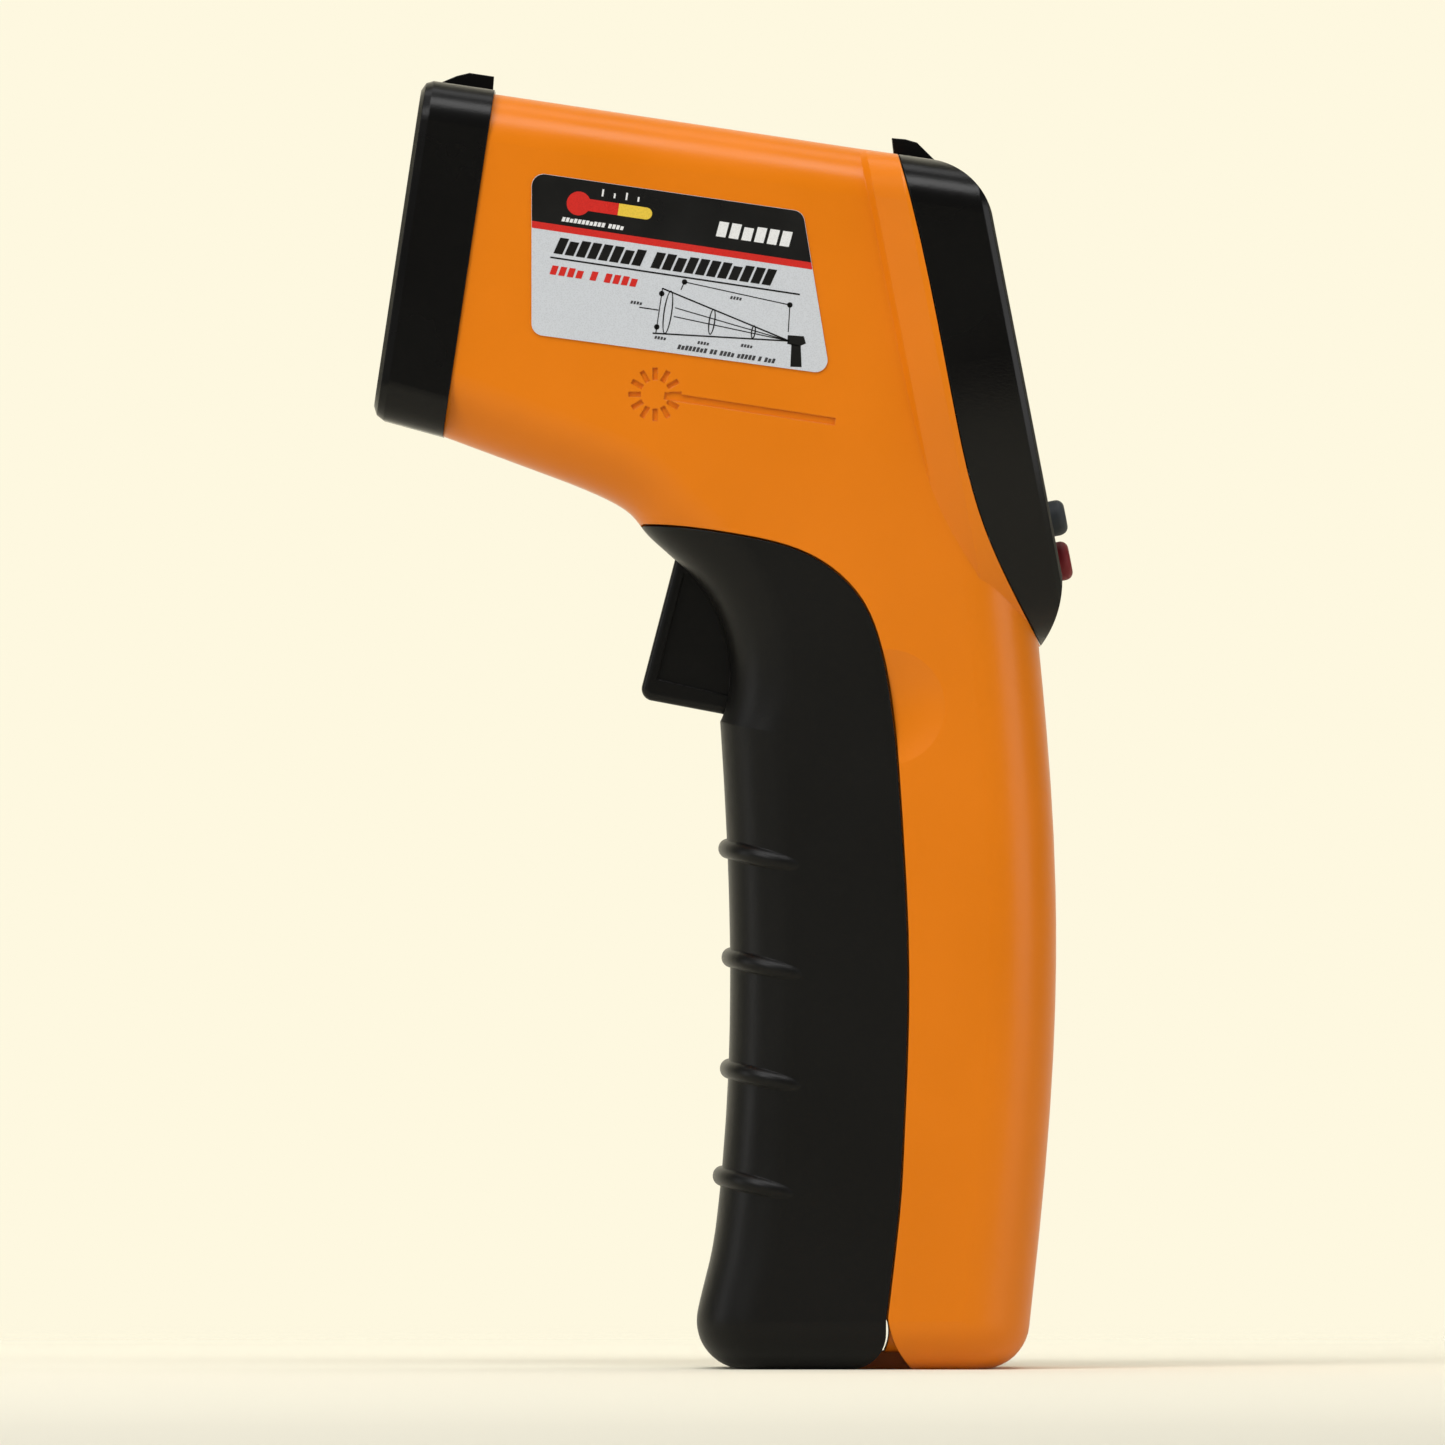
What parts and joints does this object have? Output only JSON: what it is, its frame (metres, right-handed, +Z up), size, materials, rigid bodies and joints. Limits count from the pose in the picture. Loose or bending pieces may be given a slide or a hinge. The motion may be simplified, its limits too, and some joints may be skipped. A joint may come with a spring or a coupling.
{
  "type": "infrared thermometer",
  "caption": "Pistol-grip infrared thermometer: a flared orange housing with a black nose cap, display end, trigger and a ribbed grip front that swings open over the batteries.",
  "frame": {"origin": "on the plane the handle stands on, under the middle of the overall length, on the parting plane", "axes": "+X towards the muzzle, +Z up along the handle, +Y to the left of someone holding it"},
  "size_m": [0.0872, 0.043, 0.1619],
  "materials": {
    "orange": "satin moulded plastic",
    "black": "fine-textured moulded plastic",
    "grip_black": "satin moulded plastic",
    "steel": "zinc plated",
    "clear": "clear polished pane",
    "lcd": "liquid crystal glass",
    "white": "diffusing plastic",
    "pcb": "solder mask",
    "chip": "moulded package with tinned pins",
    "grey_key": "soft moulded rubber",
    "red_key": "soft moulded rubber",
    "brass": "turned",
    "lens": "dark infrared lens",
    "can": "plated can",
    "cell": "printed sleeve over a steel can",
    "wire_red": "insulated wire",
    "wire_black": "insulated wire",
    "label": "printed polyester label",
    "zebra": "layered silicone strip"
  },
  "bodies": {
    "housing": {"housing_left": "orange", "housing_right": "orange", "housing_screws": "steel", "nose_cap": "black", "lens_tube": "black", "ir_lens": "lens", "lens_ring": "black", "thermopile_sensor": "can", "sensor_board": "pcb", "sensor_ribbon": "white", "laser_module": "brass", "laser_bracket": "black", "laser_window": "clear", "laser_leads": "wire_red", "rear_bezel": "black", "lcd_window": "clear", "lcd_glass": "lcd", "lcd_backlight": "white", "zebra_strips": "zebra", "main_board": "pcb", "key_switches": "chip", "controller_chip": "chip", "buzzer": "black", "board_screws": "steel", "trigger_pin": "steel", "trigger_spring": "steel", "trigger_switch": "chip", "battery_tray": "black", "battery_cell_left": "cell", "battery_cell_right": "cell", "battery_spring_contacts": "steel", "battery_plate_contacts": "steel", "battery_lead_red": "wire_red", "battery_lead_black": "wire_black", "side_label_left": "label", "side_label_right": "label"},
    "trigger": {"trigger": "grip_black"},
    "trigger_plunger": {"trigger_switch_plunger": "white"},
    "battery_door": {"battery_door": "grip_black"},
    "laser_key": {"laser_key": "grey_key", "laser_key_plunger": "white"},
    "backlight_key": {"backlight_key": "grey_key", "backlight_key_plunger": "white"},
    "mode_key": {"mode_key": "red_key", "mode_key_plunger": "white"}
  },
  "joints": [
    {"name": "trigger_pull", "type": "hinge", "parent": "housing", "child": "trigger", "pos_m": [-0.00115, 0, 0.103], "axis": [0, 1, 0], "range_deg": [0, 11], "stiffness_Nm_per_rad": 0.25, "springref_deg": -5.73, "deforming": ["trigger_spring"]},
    {"name": "trigger_plunger_press", "type": "slide", "parent": "housing", "child": "trigger_plunger", "axis": [-1, 0, 0], "range_m": [0, 0.0025]},
    {"name": "battery_door_swing", "type": "hinge", "parent": "housing", "child": "battery_door", "pos_m": [-0.01575, 0, 0.0045], "axis": [0, 1, 0], "range_deg": [0, 75]},
    {"name": "laser_key_press", "type": "slide", "parent": "housing", "child": "laser_key", "axis": [0.9816, 0, -0.1908], "range_m": [0, 0.0005], "stiffness_N_per_m": 1500, "springref_m": -0.0003},
    {"name": "backlight_key_press", "type": "slide", "parent": "housing", "child": "backlight_key", "axis": [0.9816, 0, -0.1908], "range_m": [0, 0.0005], "stiffness_N_per_m": 1500, "springref_m": -0.0003},
    {"name": "mode_key_press", "type": "slide", "parent": "housing", "child": "mode_key", "axis": [0.9816, 0, -0.1908], "range_m": [0, 0.0005], "stiffness_N_per_m": 1500, "springref_m": -0.0003}
  ],
  "couplings": [
    {"joint": "trigger_plunger_press", "follows": "trigger_pull", "m_per_rad": 0.0125}
  ]
}
